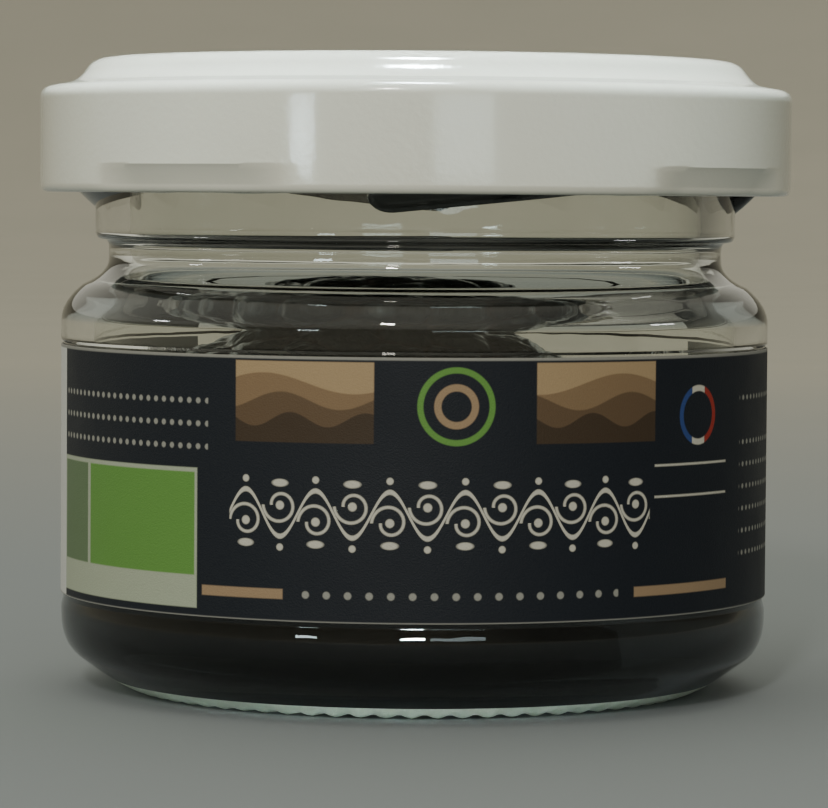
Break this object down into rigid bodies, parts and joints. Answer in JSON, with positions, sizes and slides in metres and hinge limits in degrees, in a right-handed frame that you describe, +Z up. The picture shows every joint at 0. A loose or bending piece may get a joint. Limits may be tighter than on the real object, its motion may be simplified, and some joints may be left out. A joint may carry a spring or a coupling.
{
  "type": "jar of black truffle",
  "caption": "Small glass twist-off jar holding one whole black truffle in dark juice, with a white tinplate lid, a sealing ring and a paper label.",
  "frame": {"origin": "centre of the jar's foot, on the surface it stands on", "axes": "+Z up along the jar's axis, -Y towards the front of the label"},
  "size_m": [0.0558, 0.0558, 0.0466],
  "materials": {
    "glass": "polished",
    "label_paper": "satin",
    "juice": "gloss",
    "truffle": "satin",
    "white_tinplate": "gloss",
    "sealing_compound": "satin"
  },
  "bodies": {
    "jar": {"jar": "glass", "label": "label_paper", "juice": "juice", "truffle": "truffle"},
    "seal": {"seal": "sealing_compound"},
    "lid": {"lid": "white_tinplate"}
  },
  "joints": [
    {"name": "lid_rise", "type": "slide", "parent": "jar", "child": "seal", "axis": [0, 0, 1], "range_m": [0, 0.0021]},
    {"name": "lid_twist", "type": "hinge", "parent": "seal", "child": "lid", "pos_m": [0, 0, 0.0366], "axis": [0, 0, 1], "range_deg": [0, 50]}
  ],
  "couplings": [
    {"joint": "lid_rise", "follows": "lid_twist", "m_per_rad": 0.0023548}
  ]
}
